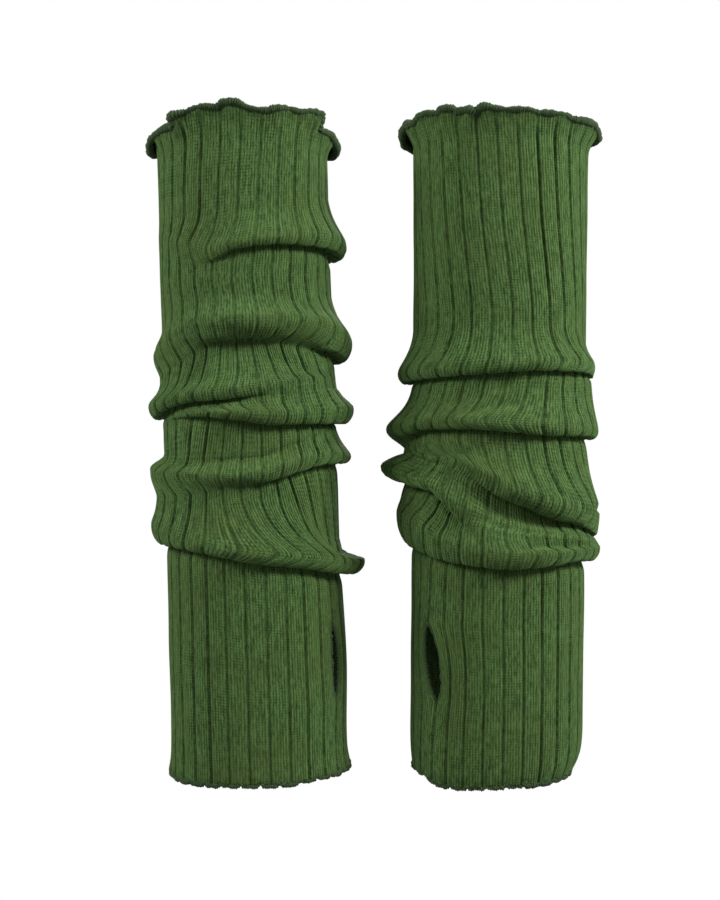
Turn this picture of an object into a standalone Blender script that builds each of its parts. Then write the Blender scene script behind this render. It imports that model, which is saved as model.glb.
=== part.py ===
# Pair of wrist warmers in ribbed knit, filled out as worn and slouched into folds.
# Each has a ribbed tube, a wavy upper edge, a scalloped lower edge and an edged thumb slit.
# Metres, +Z up. The front faces -Y. The origin lies midway between the upper ends of the tubes.

import bpy
import bmesh
from collections import namedtuple
from math import copysign, cos, exp, hypot, pi, radians, sin, tau

MM = 0.001

# Knit
RIB_COUNT = 28
RIB_PITCH = tau / RIB_COUNT
RIB_SHOULDERS = (0.17, 0.83)          # where a rib's flat top begins and ends, in rib pitches
RIB_DEPTH = 1.1                       # groove depth
GROOVE_WALL = 1.6                     # wall left under a groove
SEAM_GAP = 0.3                        # between a wall's rim and its edge roll

# Lengths along a warmer, in mm below the upper edge
WORN_LENGTH = 272.6                   # each warmer's own length is worn_more longer
FRILL_DROP = 4.6
NECK_DROP = 11.5
HEM_TURN = 9.0                        # last stretch, where the hem turns in or out
HEM_SCALLOP = 0.9                     # how much higher the hem ends in a groove than on a rib

# Wavy upper edge
EDGE_WAVES = 14
EDGE_FLARE, EDGE_SIDE_FLARE = 2.4, 2.4      # how far it stands out in front, and more at the sides
EDGE_LEAN = -0.9                            # its drop in front; each warmer's side_fall adds to it
SIDE_POWER = 8                              # how closely that fall keeps to the two sides
EDGE_SWING = 1.3                            # height of its waves, in and out, up and down
WAVE_UNEVEN = 0.25                          # how much lower some waves are
WAVE_STRAY = 0.8                            # how far a wave strays from even spacing, in radians
FRILL_STANDS, FRILL_FALLS = 0.55, 0.35      # the frill below the edge does this much of what it does
NECK_STANDS = 0.2

# Edge rolls
UPPER_ROLL, LOWER_ROLL, SLIT_ROLL = 1.25, 1.1, 0.65        # radii
ROLL_SIDES = {"upper": 5, "lower": 4, "slit": 5}
ROLL_CLEAR = {"upper": 0.6, "lower": 0.35}                # added to the seam gap where the rim slopes

# Thumb slit
SLIT_MIDDLE = 225.0
SLIT_HALF_LENGTH = 18.0               # to the middle of its edge roll
SLIT_HALF_WIDTH = 6.3
SLIT_ROWS = (-22, -10, 0, 10, 22)     # rows of the wall beside the slit, from its middle
SLIT_POINT = 1.2                      # 1 is an ellipse, more is more pointed
SLIT_STEPS = 24                       # points round the slit
SLIT_GAP = 0.5                        # between its edge roll and the cut wall
RIBS_PART_OVER = radians(24)          # how far round the ribs give way to the slit
CUTTER_REACH = (28.0, 46.0)           # from the tube's axis, inside to outside

# Folds: each value is given round the tube at these angles from the front, right side positive
FOLD_ANGLES = tuple(radians(a) for a in (-90, -45, 0, 45, 90, 180))
Fold = namedtuple("Fold", "begins crest crease stands tucks")
# begins, crest and crease are drops below the upper edge; stands and tucks are how far the crest
# and the crease stand out from the plain tube

LEFT_FOLDS = (
    Fold(begins=(37, 41, 38, 36, 30, 35), crest=(44, 49, 53, 49, 50, 48), crease=(47, 52, 56, 53, 57, 52),
         stands=(0.2, 1.2, 3.6, 5.2, 7.6, 3.0), tucks=(0, 0, 0, 0, 0, 0)),
    Fold(begins=(90, 76, 73, 74, 74, 74), crest=(99, 91, 84, 86, 91, 95), crease=(109, 97, 91, 94, 100, 104),
         stands=(3.6, 3.6, 3.6, 4.6, 8.6, 4.0), tucks=(1.5, 0.6, 0, 0, 0, 0.8)),
    Fold(begins=(111, 105, 106, 105, 109, 110), crest=(118, 117, 121, 122, 119, 117),
         crease=(126, 122, 126, 127, 127, 124),
         stands=(6.0, 5.2, 4.6, 5.2, 8.0, 4.5), tucks=(0, 0, 0, 0, 0.4, 0)),
    Fold(begins=(144, 138, 136, 132, 130, 135), crest=(150, 147, 146, 140, 140, 144),
         crease=(159, 155, 151, 146, 144, 151),
         stands=(6.8, 4.6, 4.2, 5.4, 6.6, 4.0), tucks=(4.6, 3.0, 1.2, 0.6, 0.2, 1.5)),
    Fold(begins=(162, 159, 158, 166, 183, 162), crest=(170, 175, 179, 184, 188, 179),
         crease=(176, 179, 183, 188, 193, 186),
         stands=(6.2, 5.6, 5.2, 6.2, 10.6, 5.0), tucks=(0, 0, 0, 0, 0, 0)),
)

RIGHT_FOLDS = (
    Fold(begins=(89, 88, 87, 88, 95, 90), crest=(105, 105, 103, 102, 103, 102),
         crease=(111, 109, 106, 105, 109, 107),
         stands=(7.4, 5.0, 4.2, 4.0, 2.4, 4.0), tucks=(0.8, 0.2, 0, 0, 2.0, 0.6)),
    Fold(begins=(114, 113, 114, 113, 111, 113), crest=(129, 124, 125, 127, 129, 126),
         crease=(138, 128, 129, 131, 134, 132),
         stands=(12.0, 6.5, 4.8, 5.0, 5.2, 5.0), tucks=(3.4, 1.0, 0, 0, 0, 0.5)),
    Fold(begins=(139, 137, 133, 134, 139, 135), crest=(144, 153, 152, 159, 155, 150),
         crease=(152, 161, 157, 165, 162, 156),
         stands=(12.6, 7.0, 4.6, 6.2, 6.0, 5.0), tucks=(4.8, 3.0, 1.4, 2.2, 4.4, 2.0)),
    Fold(begins=(154, 163, 161, 166, 163, 159), crest=(162, 171, 171, 172, 170, 168),
         crease=(168, 174, 175, 175, 174, 173),
         stands=(6.8, 5.4, 4.6, 5.0, 5.8, 5.0), tucks=(6.0, 4.8, 4.0, 3.8, 5.0, 4.0)),
    Fold(begins=(169, 176, 177, 177, 175, 175), crest=(173, 178, 180, 180, 179, 180),
         crease=(178, 181, 184, 184, 184, 186),
         stands=(4.6, 5.0, 5.0, 5.2, 6.0, 5.0), tucks=(0, 0, 0, 0, 0, 0)),
)
ROLL_UNDER = 0.4                      # how far from crest to crease the fold's underside begins
ROLL_UNDER_STANDS = 0.85              # and how much of the fold still stands out there
FOLD_FADES = 20.0                     # stretch over which the wall below a crease comes back in

# One row for each warmer: axis and radius at its upper and lower end, its thumb slit, how far its
# upper edge falls at the sides and tilts, where the waves begin, and its hem
Warmer = namedtuple("Warmer", "name axis_top axis_bottom radius_top radius_bottom slit_angle slit_tilt "
                              "side_fall edge_tilt wave_turn worn_more hem_tilt hem_flare folds")
WARMERS = (
    Warmer("left", -50.8, -43.0, 36.2, 37.6, radians(72), radians(-3),
           6.6, 0.0, 0.6, -0.4, -2.8, 0.4, LEFT_FOLDS),
    Warmer("right", 60.6, 58.4, 37.0, 36.9, radians(-49), radians(3),
           2.4, 0.9, 2.2, 0.6, 0.0, -1.5, RIGHT_FOLDS),
)

MITRE_LIMIT = 1.5                     # how far an inner corner may stretch the wall
SHARP_FROM = radians(50)
SAME_ANGLE = 1e-6

KNIT_COLOUR = (0.075, 0.145, 0.045)
EDGE_COLOUR = (0.040, 0.075, 0.030)


def clear_scene():
    for old in list(bpy.data.objects):
        bpy.data.objects.remove(old, do_unlink=True)


def make_collection(name):
    collection = bpy.data.collections.new(name)
    bpy.context.scene.collection.children.link(collection)
    return collection


def make_material(name, colour, roughness):
    material = bpy.data.materials.new(name)
    material.use_nodes = True
    shader = material.node_tree.nodes["Principled BSDF"]
    shader.inputs["Base Color"].default_value = (*colour, 1.0)
    shader.inputs["Roughness"].default_value = roughness
    shader.inputs["Metallic"].default_value = 0.0
    material.diffuse_color = (*colour, 1.0)
    return material


def mesh_object(name, bm, collection, material=None):
    bmesh.ops.recalc_face_normals(bm, faces=bm.faces[:])
    mesh = bpy.data.meshes.new(name)
    bm.to_mesh(mesh)
    bm.free()
    if material:
        mesh.materials.append(material)
    mesh.shade_smooth()
    mesh.set_sharp_from_angle(angle=SHARP_FROM)
    made = bpy.data.objects.new(name, mesh)
    collection.objects.link(made)
    return made


def smooth_step(share):
    return share * share * (3.0 - 2.0 * share)


def wrapped(angle):
    # the same angle between minus and plus half a turn
    return (angle + pi) % tau - pi


def round_the_tube(values, angle):
    # a fold's value at an angle, eased between the angles of its table row
    angle = wrapped(angle)
    stops = FOLD_ANGLES + (FOLD_ANGLES[0] + tau,)
    values = tuple(values) + (values[0],)
    if angle < stops[0]:
        angle += tau
    for i in range(len(stops) - 1):
        if angle <= stops[i + 1]:
            share = smooth_step((angle - stops[i]) / (stops[i + 1] - stops[i]))
            return values[i] + (values[i + 1] - values[i]) * share
    return values[-1]


def edge_wave(warmer, angle):
    # waves of uneven height round the upper edge, and how much of a side this angle is
    height = 1.0 - WAVE_UNEVEN + WAVE_UNEVEN * sin(3 * angle + 2 * warmer.wave_turn)
    side = sin(angle) ** SIDE_POWER
    turn = EDGE_WAVES * angle + warmer.wave_turn + WAVE_STRAY * sin(2 * angle + warmer.wave_turn)
    return height * sin(turn), height * cos(turn), side


def profile(warmer, angle):
    # (stand-out, drop) of each row of the outer wall at this angle, from the upper edge down
    wave, quarter_wave, side = edge_wave(warmer, angle)
    edge_out = EDGE_FLARE + EDGE_SIDE_FLARE * side + EDGE_SWING * quarter_wave
    edge_drop = EDGE_LEAN + warmer.side_fall * side + warmer.edge_tilt * sin(angle) + EDGE_SWING * wave
    rows = [(edge_out, edge_drop),
            (FRILL_STANDS * edge_out, FRILL_DROP + FRILL_FALLS * edge_drop),
            (NECK_STANDS, NECK_DROP)]
    last_tuck, last_crease = 0.0, NECK_DROP
    for fold in warmer.folds:
        begins, crest, crease, stands, tucks = (round_the_tube(v, angle) for v in fold)
        still_out = last_tuck * max(0.0, 1.0 - (begins - last_crease) / FOLD_FADES)
        under = crest + ROLL_UNDER * (crease - crest)
        under_out = tucks + ROLL_UNDER_STANDS * (stands - tucks)
        rows += [(still_out, begins), (stands, crest), (under_out, under), (tucks, crease)]
        last_tuck, last_crease = tucks, crease
    rows += [(0.0, SLIT_MIDDLE + step) for step in SLIT_ROWS]
    hem_drop = WORN_LENGTH + warmer.worn_more + warmer.hem_tilt * sin(angle)
    rows += [(0.0, hem_drop - HEM_TURN), (warmer.hem_flare, hem_drop)]
    return rows


def axis_x(warmer, drop):
    return warmer.axis_top + (warmer.axis_bottom - warmer.axis_top) * drop / WORN_LENGTH


def radius(warmer, drop):
    return warmer.radius_top + (warmer.radius_bottom - warmer.radius_top) * drop / WORN_LENGTH


def slit_half_width(drop, extra=0.0):
    # widest in the middle, narrowing to a blunt point at both ends
    share = (drop - SLIT_MIDDLE) / (SLIT_HALF_LENGTH + extra)
    return (SLIT_HALF_WIDTH + extra) * max(0.0, 1.0 - share * share) ** (SLIT_POINT / 2)


def slit_angle(warmer, drop):
    # the slit's middle line, which leans a little
    return warmer.slit_angle + warmer.slit_tilt * (drop - SLIT_MIDDLE) / SLIT_HALF_LENGTH


def placed(warmer, angle, out, drop, inwards=0.0):
    # a point of the wall in world metres, with the ribs parted round the slit
    away = wrapped(angle - warmer.slit_angle)
    fade = exp(-abs(away) / RIBS_PART_OVER)
    parting = slit_half_width(drop, SLIT_ROLL) / warmer.radius_bottom
    leaning = slit_angle(warmer, drop) - warmer.slit_angle if slit_half_width(drop) > 0 else 0.0
    if abs(away) < SAME_ANGLE:
        parting = 0.0
    turned = angle + (copysign(parting, away) + leaning) * fade
    r = radius(warmer, drop) + out - inwards
    return (MM * (axis_x(warmer, drop) + r * sin(turned)), MM * (-r * cos(turned)), -MM * drop)


def inner_profile(rows):
    # the plain inside: the outer rows at groove depth, moved in square to the wall
    inside = []
    for i, (out, drop) in enumerate(rows):
        before = rows[max(i - 1, 0)]
        after = rows[min(i + 1, len(rows) - 1)]
        normals = []
        for (a, b) in ((before, (out, drop)), ((out, drop), after)):
            step_out, step_drop = b[0] - a[0], b[1] - a[1]
            length = hypot(step_out, step_drop)
            if length > 0:
                normals.append((-step_drop / length, step_out / length))
        mean_out = sum(n[0] for n in normals)
        mean_drop = sum(n[1] for n in normals)
        length = hypot(mean_out, mean_drop)
        mitre = min(MITRE_LIMIT, 2.0 / length if len(normals) == 2 else 1.0)
        move = GROOVE_WALL * mitre
        inside.append((out - RIB_DEPTH + move * mean_out / length, drop + move * mean_drop / length))
    return inside


def ribbed_tube(warmer, collection, material):
    bm = bmesh.new()
    outer, inner = [], []
    start = warmer.slit_angle
    for rib in range(RIB_COUNT):
        for share in (0.0, *RIB_SHOULDERS):
            angle = start + (rib + share) * RIB_PITCH
            groove = RIB_DEPTH if share == 0.0 else 0.0
            rows = profile(warmer, angle)
            last = len(rows) - 1
            column = []
            for i, (out, drop) in enumerate(rows):
                lift = HEM_SCALLOP if groove and i == last else 0.0
                column.append(bm.verts.new(placed(warmer, angle, out, drop - lift, groove)))
            outer.append(column)
        angle = start + (rib + 0.5) * RIB_PITCH
        rows = inner_profile(profile(warmer, angle))
        inner.append([bm.verts.new(placed(warmer, angle, out, drop)) for out, drop in rows])

    for columns in (outer, inner):
        for i, column in enumerate(columns):
            beside = columns[(i + 1) % len(columns)]
            for row in range(len(column) - 1):
                bm.faces.new((column[row], beside[row], beside[row + 1], column[row + 1]))
    per_rib = 1 + len(RIB_SHOULDERS)
    for end in (0, -1):
        for rib in range(RIB_COUNT):
            inside, next_inside = inner[rib][end], inner[(rib + 1) % RIB_COUNT][end]
            around = [outer[(rib * per_rib + i) % len(outer)][end] for i in range(per_rib + 1)]
            for a, b in zip(around, around[1:]):
                bm.faces.new((inside, a, b) if end else (inside, b, a))
            last = around[-1]
            bm.faces.new((inside, last, next_inside) if end else (inside, next_inside, last))
    bmesh.ops.triangulate(bm, faces=bm.faces[:])
    return mesh_object("tube_" + warmer.name, bm, collection, material)


def closed_roll(name, path, roll_radius, sides, collection, material):
    # a roll of round section along a closed path of (point, outward direction, side direction)
    bm = bmesh.new()
    rings = []
    for point, across, along in path:
        ring = []
        for k in range(sides):
            turn = tau * k / sides
            move = [roll_radius * (cos(turn) * across[n] + sin(turn) * along[n]) for n in range(3)]
            ring.append(bm.verts.new([MM * (point[n] + move[n]) for n in range(3)]))
        rings.append(ring)
    for i, ring in enumerate(rings):
        beside = rings[(i + 1) % len(rings)]
        for k in range(sides):
            bm.faces.new((ring[k], beside[k], beside[(k + 1) % sides], ring[(k + 1) % sides]))
    bmesh.ops.triangulate(bm, faces=bm.faces[:])
    return mesh_object(name, bm, collection, material)


def rim_roll(warmer, kind, roll_radius, collection, material):
    # the roll past a tube's upper or lower rim, straight on from the wall's end
    path = []
    lower = kind == "lower"
    for rib in range(RIB_COUNT):
        for share in (0.0, *RIB_SHOULDERS):
            angle = warmer.slit_angle + (rib + share) * RIB_PITCH
            rows = profile(warmer, angle)
            inside = inner_profile(rows)
            end, before = (-1, -2) if lower else (0, 1)
            lift = HEM_SCALLOP if lower and share == 0.0 else 0.0
            run_out, run_drop = rows[end][0] - rows[before][0], rows[end][1] - rows[before][1]
            length = hypot(run_out, run_drop)
            run_out, run_drop = run_out / length, run_drop / length
            beyond = roll_radius + SEAM_GAP + ROLL_CLEAR[kind]
            out = (rows[end][0] + inside[end][0]) / 2 + beyond * run_out
            drop = (rows[end][1] + inside[end][1]) / 2 + beyond * run_drop - lift
            x, y, z = (v / MM for v in placed(warmer, angle, out, drop))
            outwards = (sin(angle), -cos(angle), 0.0)
            path.append(((x, y, z), outwards, (0.0, 0.0, 1.0)))
    return closed_roll("edge_" + kind + "_" + warmer.name, path, roll_radius,
                       ROLL_SIDES[kind], collection, material)


def slit_outline(warmer, grown):
    # round the slit: (angle, drop, outward normal across, outward normal down), moved out by grown
    flat = []
    for i in range(SLIT_STEPS):
        turn = tau * i / SLIT_STEPS
        width = copysign(SLIT_HALF_WIDTH * abs(sin(turn)) ** SLIT_POINT, sin(turn))
        flat.append((width, -SLIT_HALF_LENGTH * cos(turn)))
    points = []
    for i, (across, down) in enumerate(flat):
        before, after = flat[i - 1], flat[(i + 1) % SLIT_STEPS]
        run_across, run_down = after[0] - before[0], after[1] - before[1]
        length = hypot(run_across, run_down)
        normal_across, normal_down = run_down / length, -run_across / length
        drop = SLIT_MIDDLE + down + grown * normal_down
        round_by = (across + grown * normal_across) / warmer.radius_bottom
        points.append((slit_angle(warmer, drop) + round_by, drop, normal_across, normal_down))
    return points


def slit_cutter(warmer, collection):
    # a lens-shaped wedge from inside the tube to outside it
    bm = bmesh.new()
    rings = []
    outline = slit_outline(warmer, SLIT_ROLL + SLIT_GAP)
    for r in CUTTER_REACH:
        rings.append([bm.verts.new((MM * (axis_x(warmer, drop) + r * sin(a)), -MM * r * cos(a), -MM * drop))
                      for a, drop, _, _ in outline])
    near, far = rings
    for i in range(len(near)):
        k = (i + 1) % len(near)
        bm.faces.new((near[i], near[k], far[k], far[i]))
    bm.faces.new(near)
    bm.faces.new(far[::-1])
    bmesh.ops.triangulate(bm, faces=bm.faces[:])
    cutter = mesh_object("cutter_slit_" + warmer.name, bm, collection)
    cutter.hide_render = True
    cutter.display_type = "WIRE"
    return cutter


def slit_roll(warmer, collection, material):
    # the narrow roll that lines the slit, at the middle of the wall
    path = []
    middle = (RIB_DEPTH + GROOVE_WALL) / 2
    for angle, drop, normal_across, normal_down in slit_outline(warmer, 0.0):
        r = radius(warmer, drop) - middle
        point = (axis_x(warmer, drop) + r * sin(angle), -r * cos(angle), -drop)
        outwards = (sin(angle), -cos(angle), 0.0)
        side = (normal_across * cos(angle), normal_across * sin(angle), -normal_down)
        path.append((point, outwards, side))
    return closed_roll("edge_slit_" + warmer.name, path, SLIT_ROLL, ROLL_SIDES["slit"], collection, material)


def cut_with(made, cutter):
    cut = made.modifiers.new("slit", "BOOLEAN")
    cut.operation = "DIFFERENCE"
    cut.solver = "EXACT"
    cut.object = cutter


clear_scene()
pair = make_collection("wrist_warmers")
cutters = make_collection("cutters")
for warmer in WARMERS:
    knit = make_material("knit_" + warmer.name, KNIT_COLOUR, 0.9)
    overlock = make_material("overlock_" + warmer.name, EDGE_COLOUR, 0.85)
    tube = ribbed_tube(warmer, pair, knit)
    cut_with(tube, slit_cutter(warmer, cutters))
    rim_roll(warmer, "upper", UPPER_ROLL, pair, overlock)
    rim_roll(warmer, "lower", LOWER_ROLL, pair, overlock)
    slit_roll(warmer, pair, overlock)
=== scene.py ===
# Pair of wrist warmers in green rib knit, slouched as worn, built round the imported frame.
# Metres, +Z up, front towards -Y. An angle is in degrees round a tube from its front, with the right
# side positive. A drop is in mm below the level of the upper edges.
from bisect import bisect_right
from math import ceil, cos, exp, floor, hypot, pi, radians, sin, tau

import bpy
import bmesh
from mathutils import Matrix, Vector, noise


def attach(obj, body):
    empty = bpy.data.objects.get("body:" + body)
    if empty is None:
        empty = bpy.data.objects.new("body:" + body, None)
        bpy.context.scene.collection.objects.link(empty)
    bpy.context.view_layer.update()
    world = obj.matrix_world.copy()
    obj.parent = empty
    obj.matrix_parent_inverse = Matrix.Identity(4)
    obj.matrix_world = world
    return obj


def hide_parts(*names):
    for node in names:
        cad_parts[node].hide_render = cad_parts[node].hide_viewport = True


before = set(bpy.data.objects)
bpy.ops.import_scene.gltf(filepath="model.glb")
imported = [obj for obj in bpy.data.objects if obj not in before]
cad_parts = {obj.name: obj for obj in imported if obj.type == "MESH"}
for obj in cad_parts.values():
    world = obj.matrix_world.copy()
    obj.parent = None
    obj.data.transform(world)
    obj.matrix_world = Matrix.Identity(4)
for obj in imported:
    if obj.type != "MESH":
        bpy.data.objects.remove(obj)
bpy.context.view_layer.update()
mm = 0.001
print("frame loaded:", len(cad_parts), "nodes")


# Shader maths, and the node trees that it is written into

class Flow:
    # a socket that takes part in arithmetic
    def __init__(self, maker, socket):
        self.maker, self.socket = maker, socket

    def __add__(self, other):
        return self.maker.maths("ADD", self, other)

    def __radd__(self, other):
        return self.maker.maths("ADD", other, self)

    def __sub__(self, other):
        return self.maker.maths("SUBTRACT", self, other)

    def __rsub__(self, other):
        return self.maker.maths("SUBTRACT", other, self)

    def __mul__(self, other):
        return self.maker.maths("MULTIPLY", self, other)

    def __rmul__(self, other):
        return self.maker.maths("MULTIPLY", other, self)

    def __truediv__(self, other):
        return self.maker.maths("DIVIDE", self, other)

    def __rtruediv__(self, other):
        return self.maker.maths("DIVIDE", other, self)

    def __pow__(self, other):
        return self.maker.maths("POWER", self, other)

    def __abs__(self):
        return self.maker.maths("ABSOLUTE", self)

    def fraction(self):
        return self.maker.maths("FRACT", self)

    def wave(self):
        # 0 to 1, once for each 1 that the value grows
        return self.maker.maths("COSINE", self * tau) * 0.5 + 0.5

    def step(self, low, high):
        # 0 below low, 1 above high, smooth between
        return self.maker.node("ShaderNodeMapRange", {"interpolation_type": "SMOOTHSTEP"},
                               {"Value": self, "From Min": low, "From Max": high})


class Maker:
    # adds nodes to a tree; node() makes any node from its type, its settings and its sockets' values
    def __init__(self, tree):
        self.tree = tree

    def join(self, value, socket):
        if isinstance(value, Flow):
            self.tree.links.new(value.socket, socket)
        else:
            socket.default_value = value

    def node(self, kind, settings=None, inputs=None, output=0):
        made = self.tree.nodes.new(kind)
        for name, value in (settings or {}).items():
            setattr(made, name, value)
        for key, value in (inputs or {}).items():
            self.join(value, made.inputs[key])
        return Flow(self, made.outputs[output])

    def maths(self, operation, *values):
        return self.node("ShaderNodeMath", {"operation": operation}, dict(enumerate(values)))

    def coordinate(self, vector, axis):
        return self.node("ShaderNodeSeparateXYZ", None, {"Vector": vector}, axis)

    def speckle(self, where, scale=1.0, detail=2.0):
        # soft noise at a vector, or at a pair of values
        if isinstance(where, tuple):
            where = self.node("ShaderNodeCombineXYZ", None, {"X": where[0], "Y": where[1]})
        return self.node("ShaderNodeTexNoise", None, {"Vector": where, "Scale": scale, "Detail": detail})

    def mixed(self, factor, a, b):
        a, b = ((*colour, 1) if isinstance(colour, tuple) else colour for colour in (a, b))
        return self.node("ShaderNodeMix", {"data_type": "RGBA"}, {0: factor, 6: a, 7: b}, 2)


class Finish(Maker):
    # a node material, whose constants go straight to the shader's own sockets
    def __init__(self, name, **constants):
        self.material = bpy.data.materials.new(name)
        self.material.use_nodes = True
        super().__init__(self.material.node_tree)
        self.shader = self.tree.nodes["Principled BSDF"]
        for socket, value in constants.items():
            self.shader.inputs[socket.replace("_", " ")].default_value = value

    def done(self, colour, height, depth, strength=1.0):
        # the colour and the bump go to the shader
        self.join(colour, self.shader.inputs["Base Color"])
        bump = self.node("ShaderNodeBump", None, {"Height": height, "Distance": depth, "Strength": strength})
        self.join(bump, self.shader.inputs["Normal"])
        return self.material


# The camera, the light and the floor

studio = {
    "cameraAt": (0.0, -0.650, -0.1378), "lens": 60.464, "sensor": 36.0, "clipStart": 0.05,
    "floorLevel": -2.6, "floorSize": 3.4, "floorColour": (0.9, 0.9, 0.9), "floorRoughness": 0.9,
    "backdrop": 1.0, "fill": 0.32,                  # what the camera sees, and what lights the knit
    "lampsAim": (0, 0, -0.10),
    # each lamp's place, size and power
    "lamps": {
        "key": ((0.88, -0.42, 0.50), 0.36, 17.4),
        "side": ((-0.88, -0.40, 0.44), 0.40, 10.2),
        "back": ((0.25, 1.00, 0.50), 0.60, 14.0),
    },
}


def objectFrom(bm, name, material):
    # an object at the origin, unturned, with the bmesh as its mesh
    mesh = bpy.data.meshes.new(name)
    bm.to_mesh(mesh)
    bm.free()
    mesh.materials.append(material)
    made = bpy.data.objects.new(name, mesh)
    bpy.context.scene.collection.objects.link(made)
    return made


def makeStudio(s):
    scene = bpy.context.scene
    scene.view_settings.view_transform = "Standard"
    camera = bpy.data.objects.new("camera", bpy.data.cameras.new("camera"))
    scene.collection.objects.link(camera)
    camera.location = s["cameraAt"]
    camera.rotation_euler = (pi / 2, 0, 0)
    camera.data.sensor_width = s["sensor"]
    camera.data.lens = s["lens"]
    camera.data.clip_start = s["clipStart"]
    scene.camera = camera

    for name, (where, size, power) in s["lamps"].items():
        lamp = bpy.data.lights.new(name, "AREA")
        lamp.size, lamp.energy = size, power
        stand = bpy.data.objects.new(name, lamp)
        scene.collection.objects.link(stand)
        stand.location = where
        stand.rotation_euler = (Vector(s["lampsAim"]) - stand.location).to_track_quat("-Z", "Y").to_euler()

    world = bpy.data.worlds.new("studio")
    world.use_nodes = True
    background = world.node_tree.nodes["Background"]
    background.inputs["Color"].default_value = (1, 1, 1, 1)
    sky = Maker(world.node_tree)
    seen = sky.node("ShaderNodeLightPath", output="Is Camera Ray")
    sky.join(seen * (s["backdrop"] - s["fill"]) + s["fill"], background.inputs["Strength"])
    scene.world = world

    bm = bmesh.new()
    bmesh.ops.create_grid(bm, x_segments=1, y_segments=1, size=s["floorSize"] / 2)
    bmesh.ops.translate(bm, verts=bm.verts, vec=(0, 0, s["floorLevel"]))
    paint = Finish("paleFloor", Base_Color=(*s["floorColour"], 1), Roughness=s["floorRoughness"])
    objectFrom(bm, "floor", paint.material)


makeStudio(studio)
print("studio made")


# The finishes
knitLook = {
    "dark": (0.016, 0.037, 0.009), "light": (0.092, 0.168, 0.050),
    # groove is the colour of the painted shade in the grooves between the ribs
    "olive": (0.064, 0.090, 0.022), "groove": (0.008, 0.020, 0.004),
    "walesPerRib": 7, "courseHeight": 1.15, "streakLength": 9.0, "wornLength": 14.0, "bump": 0.00024,
    # how much each makes the yarn lighter or darker
    "meanTone": 0.42, "streakTone": 1.05, "fleckTone": 1.25, "fibreTone": 1.5, "waleTone": 0.36,
    "loopTone": 0.45, "oliveShare": 0.30, "grooveShadeShare": 0.36, "grooveShadeEdge": (0.012, 0.065),
    # a dark band on the knit, partly overlock stitches and partly painted shade under the curled upper edge, in
    # mm from the upper edge; and painted shade above the hem, in metres of height at the hem
    "stitchAndShadeShare": 0.72, "upperStitchesAndShade": (0.8, 4.6), "hemShadeLevels": (-0.2745, -0.2690), "hemShadeShare": 0.8,
}


def ribKnit(look):
    f = Finish("ribKnit", Roughness=0.92, Specular_IOR_Level=0.10, Sheen_Weight=0.25, Sheen_Roughness=0.45,
               Sheen_Tint=(0.30, 0.55, 0.18, 1))
    uv = f.node("ShaderNodeUVMap", {"uv_map": "knit"})
    ribs, along = f.coordinate(uv, 0), f.coordinate(uv, 1)   # ribs round, and mm down the cloth
    wale = ribs * look["walesPerRib"] + 0.5
    leg = abs(wale.fraction() - 0.5) * 2.0                   # 0 up the middle of a wale, 1 between wales
    course = along / look["courseHeight"]
    loops = (course + leg * 0.5).wave()                      # slanted legs of the stitches
    column = 1.0 - leg ** 2.2
    height = column * 0.8 + loops * column * 0.2

    streaks = f.speckle((wale, along / look["streakLength"]), 1.0, 3.0)
    flecks = f.speckle((wale * 1.5, course * 0.42), 1.0, 3.0)
    fibres = f.speckle((wale * 3.3, course * 2.1))
    worn = f.speckle((ribs * 1.3, along / look["wornLength"]))
    tone = (streaks - 0.5) * look["streakTone"] + (flecks - 0.5) * look["fleckTone"]
    tone = tone + (fibres - 0.5) * look["fibreTone"] + (column - 0.5) * look["waleTone"] + look["meanTone"]
    tone = tone + (loops - 0.5) * worn.step(0.35, 0.75) * look["loopTone"]
    yarn = f.mixed(tone.step(0.0, 1.0), look["dark"], look["light"])

    place = f.node("ShaderNodeTexCoord", output="Object")
    patches = f.speckle(place, 38.0)
    yarn = f.mixed(patches.step(0.42, 0.75) * look["oliveShare"], yarn, look["olive"])
    # painted shade: a dark band just above the hem, where the hem curls in
    hemShadeMask = 1.0 - f.coordinate(place, 2).step(*look["hemShadeLevels"])
    # darker band below the upper edge: partly overlock stitches, partly painted shade under the curled rim; the
    # painted shade band above the hem is added to it
    stitchAndShadeBands = (1.0 - along.step(*look["upperStitchesAndShade"])) + hemShadeMask * look["hemShadeShare"]
    stitchesAndShade = f.speckle((ribs * 3.1, along / 1.6)).step(0.30, 0.62) * stitchAndShadeBands
    yarn = f.mixed(stitchesAndShade * look["stitchAndShadeShare"], yarn, look["dark"])
    # painted shade: the knit is darker in the grooves between the ribs
    toGroove = 0.5 - abs(ribs.fraction() - 0.5)
    grooveShadeMask = 1.0 - toGroove.step(*look["grooveShadeEdge"])
    return f.done(f.mixed(grooveShadeMask * look["grooveShadeShare"], yarn, look["groove"]), height, look["bump"])


threadLook = {
    "dark": (0.010, 0.022, 0.007), "light": (0.050, 0.092, 0.030),
    "meanTone": 0.30, "strandTone": 0.45, "fluffTone": 1.9, "bump": 0.00022, "bumpStrength": 0.7,
}


def overlockThread(look):
    f = Finish("overlockThread", Roughness=0.85, Specular_IOR_Level=0.2, Sheen_Weight=0.1)
    uv = f.node("ShaderNodeUVMap", {"uv_map": "thread"})
    wraps, turned = f.coordinate(uv, 0), f.coordinate(uv, 1)     # wraps along the roll, and turns round it
    strand = (wraps + turned).wave()
    fluff = f.speckle((wraps * 3.0, turned * 6.0), 1.5, 3.0)
    tone = strand * look["strandTone"] + (fluff - 0.5) * look["fluffTone"] + look["meanTone"]
    colour = f.mixed(tone.step(0.0, 1.0), look["dark"], look["light"])
    return f.done(colour, fluff, look["bump"], look["bumpStrength"])


knitMaterial = ribKnit(knitLook)
threadMaterial = overlockThread(threadLook)
print("finishes made")


# The knitted tubes

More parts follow.
